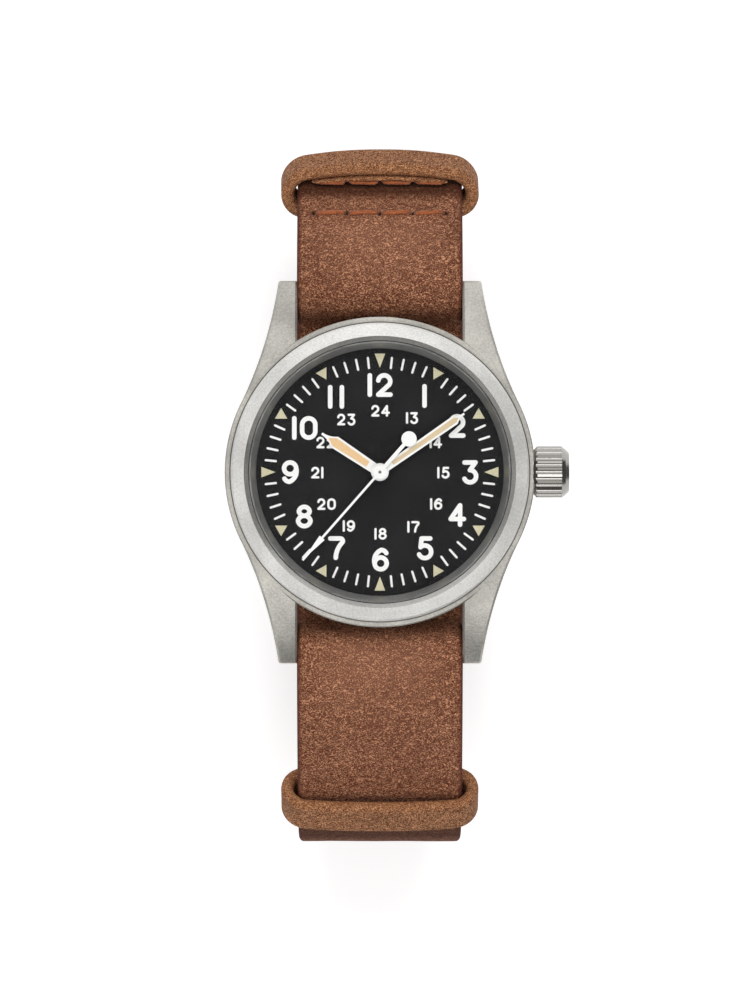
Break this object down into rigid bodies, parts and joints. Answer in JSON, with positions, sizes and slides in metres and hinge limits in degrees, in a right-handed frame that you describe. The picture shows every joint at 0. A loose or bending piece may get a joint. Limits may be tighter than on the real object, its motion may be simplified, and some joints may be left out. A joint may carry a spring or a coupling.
{
  "type": "field watch",
  "caption": "Hand-wound field watch with a black dial, three hands, domed crystal and fluted crown, on a closed pull-through leather strap with keepers and a tongue buckle.",
  "frame": {"origin": "on the dial's axis, at the wrist-side face of the under strap", "axes": "+Z out through the dial, +Y towards 12 o'clock, +X towards the crown at 3 o'clock"},
  "size_m": [0.0422, 0.0858, 0.0603],
  "materials": {
    "steel": "bead-blasted",
    "bright_steel": "satin",
    "sapphire": "clear, polished",
    "rubber_seal": "matt",
    "dark_ring": "satin dark grey",
    "grey_ring": "matt",
    "black_dial": "matt black",
    "white_print": "matt white print",
    "lume": "aged cream luminous paint",
    "white_paint": "satin white",
    "nickel_plate": "nickel plated, satin",
    "gilt_brass": "gilt",
    "ruby": "polished ruby red",
    "strap_leather": "waxed brown leather",
    "thread": "waxed orange-brown thread"
  },
  "bodies": {
    "watch": {"mid_case": "steel", "bezel": "steel", "case_back": "steel", "crown_tube": "bright_steel", "spring_bars": "bright_steel", "buckle_bar": "bright_steel", "bridge_screws": "bright_steel", "hairspring": "bright_steel", "crystal": "sapphire", "crystal_gasket": "rubber_seal", "case_back_gasket": "rubber_seal", "rehaut_ring": "dark_ring", "movement_ring": "grey_ring", "dial": "black_dial", "dial_print": "white_print", "hour_triangles": "lume", "main_plate": "nickel_plate", "barrel_bridge": "nickel_plate", "train_bridge": "nickel_plate", "balance_cock": "nickel_plate", "pallet_bridge": "nickel_plate", "jewels": "ruby", "strap_main": "strap_leather", "under_strap": "strap_leather", "keeper_upper": "strap_leather", "keeper_lower": "strap_leather", "strap_stitches": "thread"},
    "seconds": {"fourth_wheel": "gilt_brass", "seconds_hand": "white_paint"},
    "third": {"third_wheel": "gilt_brass"},
    "minutes": {"centre_wheel": "gilt_brass", "cannon_pinion": "bright_steel", "minute_hand": "white_paint", "minute_hand_lume": "lume"},
    "mainspring_barrel": {"barrel": "gilt_brass", "mainspring": "bright_steel"},
    "escape": {"escape_wheel": "bright_steel"},
    "motion": {"minute_wheel": "bright_steel"},
    "hours": {"hour_wheel": "gilt_brass", "hour_hand": "white_paint", "hour_hand_lume": "lume"},
    "fork": {"pallet_fork": "bright_steel"},
    "balance": {"balance_wheel": "gilt_brass"},
    "winding": {"winding_pinion": "bright_steel"},
    "stem": {"winding_stem": "bright_steel", "crown": "steel", "crown_gasket": "rubber_seal"},
    "sliding": {"sliding_pinion": "bright_steel"},
    "lever": {"setting_lever": "bright_steel"},
    "crown_gear": {"crown_wheel": "bright_steel"},
    "ratchet": {"ratchet_wheel": "bright_steel", "barrel_arbor": "bright_steel"},
    "click": {"click": "bright_steel"},
    "tip_top_left": {"bar_tip_top_left": "bright_steel"},
    "tip_top_right": {"bar_tip_top_right": "bright_steel"},
    "tip_low_left": {"bar_tip_low_left": "bright_steel"},
    "tip_low_right": {"bar_tip_low_right": "bright_steel"},
    "frame": {"buckle_frame": "bright_steel"},
    "tongue": {"buckle_tongue": "bright_steel"},
    "free_keeper": {"keeper_free": "strap_leather"}
  },
  "joints": [
    {"name": "seconds_spin", "type": "hinge", "parent": "watch", "child": "seconds", "pos_m": [0, 0, 0], "axis": [0, 0, -1], "continuous": true},
    {"name": "third_spin", "type": "hinge", "parent": "watch", "child": "third", "pos_m": [-0.00147, -0.00404, 0], "axis": [0, 0, -1], "continuous": true},
    {"name": "minute_spin", "type": "hinge", "parent": "watch", "child": "minutes", "pos_m": [0, 0, 0], "axis": [0, 0, -1], "continuous": true},
    {"name": "barrel_spin", "type": "hinge", "parent": "watch", "child": "mainspring_barrel", "pos_m": [0.00113, 0.00641, 0], "axis": [0, 0, -1], "continuous": true},
    {"name": "escape_spin", "type": "hinge", "parent": "watch", "child": "escape", "pos_m": [0.00383, -0.00179, 0], "axis": [0, 0, -1], "continuous": true},
    {"name": "motion_spin", "type": "hinge", "parent": "watch", "child": "motion", "pos_m": [-0.0012, 0.00208, 0], "axis": [0, 0, -1], "continuous": true},
    {"name": "hour_spin", "type": "hinge", "parent": "watch", "child": "hours", "pos_m": [0, 0, 0], "axis": [0, 0, -1], "continuous": true},
    {"name": "fork_rock", "type": "hinge", "parent": "watch", "child": "fork", "pos_m": [0.00341, -0.00417, 0], "axis": [0, 0, 1], "range_deg": [-5, 5]},
    {"name": "balance_swing", "type": "hinge", "parent": "watch", "child": "balance", "pos_m": [0.00289, -0.00713, 0], "axis": [0, 0, 1], "range_deg": [-135, 135], "stiffness_Nm_per_rad": 0.00000032},
    {"name": "crown_turn", "type": "hinge", "parent": "watch", "child": "winding", "pos_m": [0.0099, 0, 0.00675], "axis": [1, 0, 0], "continuous": true},
    {"name": "crown_pull", "type": "slide", "parent": "winding", "child": "stem", "axis": [1, 0, 0], "range_m": [0, 0.0009]},
    {"name": "sliding_shift", "type": "slide", "parent": "winding", "child": "sliding", "axis": [1, 0, 0], "range_m": [-0.00045, 0]},
    {"name": "lever_swing", "type": "hinge", "parent": "watch", "child": "lever", "pos_m": [0.0112, 0.0024, 0], "axis": [0, 0, 1], "range_deg": [0, 30]},
    {"name": "crown_gear_spin", "type": "hinge", "parent": "watch", "child": "crown_gear", "pos_m": [0.007, 0, 0], "axis": [0, 0, 1], "continuous": true},
    {"name": "ratchet_spin", "type": "hinge", "parent": "watch", "child": "ratchet", "pos_m": [0.00113, 0.00641, 0], "axis": [0, 0, 1], "continuous": true},
    {"name": "click_lift", "type": "hinge", "parent": "watch", "child": "click", "pos_m": [-0.00493, 0.00991, 0], "axis": [0, 0, 1], "range_deg": [0, 8], "stiffness_Nm_per_rad": 0.00002, "springref_deg": -5.73},
    {"name": "tip_top_left_push", "type": "slide", "parent": "watch", "child": "tip_top_left", "axis": [1, 0, 0], "range_m": [0, 0.0012], "stiffness_N_per_m": 400, "springref_m": -0.001},
    {"name": "tip_top_right_push", "type": "slide", "parent": "watch", "child": "tip_top_right", "axis": [-1, 0, 0], "range_m": [0, 0.0012], "stiffness_N_per_m": 400, "springref_m": -0.001},
    {"name": "tip_low_left_push", "type": "slide", "parent": "watch", "child": "tip_low_left", "axis": [1, 0, 0], "range_m": [0, 0.0012], "stiffness_N_per_m": 400, "springref_m": -0.001},
    {"name": "tip_low_right_push", "type": "slide", "parent": "watch", "child": "tip_low_right", "axis": [-1, 0, 0], "range_m": [0, 0.0012], "stiffness_N_per_m": 400, "springref_m": -0.001},
    {"name": "frame_hinge", "type": "hinge", "parent": "watch", "child": "frame", "pos_m": [0, -0.003, -0.0424], "axis": [1, 0, 0], "range_deg": [0, 5]},
    {"name": "tongue_hinge", "type": "hinge", "parent": "frame", "child": "tongue", "pos_m": [0, -0.003, -0.0424], "axis": [1, 0, 0], "range_deg": [0, 6]},
    {"name": "free_keeper_slide", "type": "slide", "parent": "watch", "child": "free_keeper", "axis": [0, 1, 0], "range_m": [-0.0022, 0.004]}
  ],
  "couplings": [
    {"joint": "third_spin", "follows": "seconds_spin", "ratio": -0.13333},
    {"joint": "minute_spin", "follows": "seconds_spin", "ratio": 0.016667},
    {"joint": "barrel_spin", "follows": "seconds_spin", "ratio": -0.0027778},
    {"joint": "escape_spin", "follows": "seconds_spin", "ratio": -12},
    {"joint": "motion_spin", "follows": "seconds_spin", "ratio": -0.0055556},
    {"joint": "hour_spin", "follows": "seconds_spin", "ratio": 0.0013889},
    {"joint": "sliding_shift", "follows": "crown_pull", "ratio": -0.5},
    {"joint": "lever_swing", "follows": "crown_pull", "rad_per_m": 550},
    {"joint": "crown_gear_spin", "follows": "crown_turn", "ratio": 0.33333},
    {"joint": "ratchet_spin", "follows": "crown_turn", "ratio": -0.19444}
  ]
}
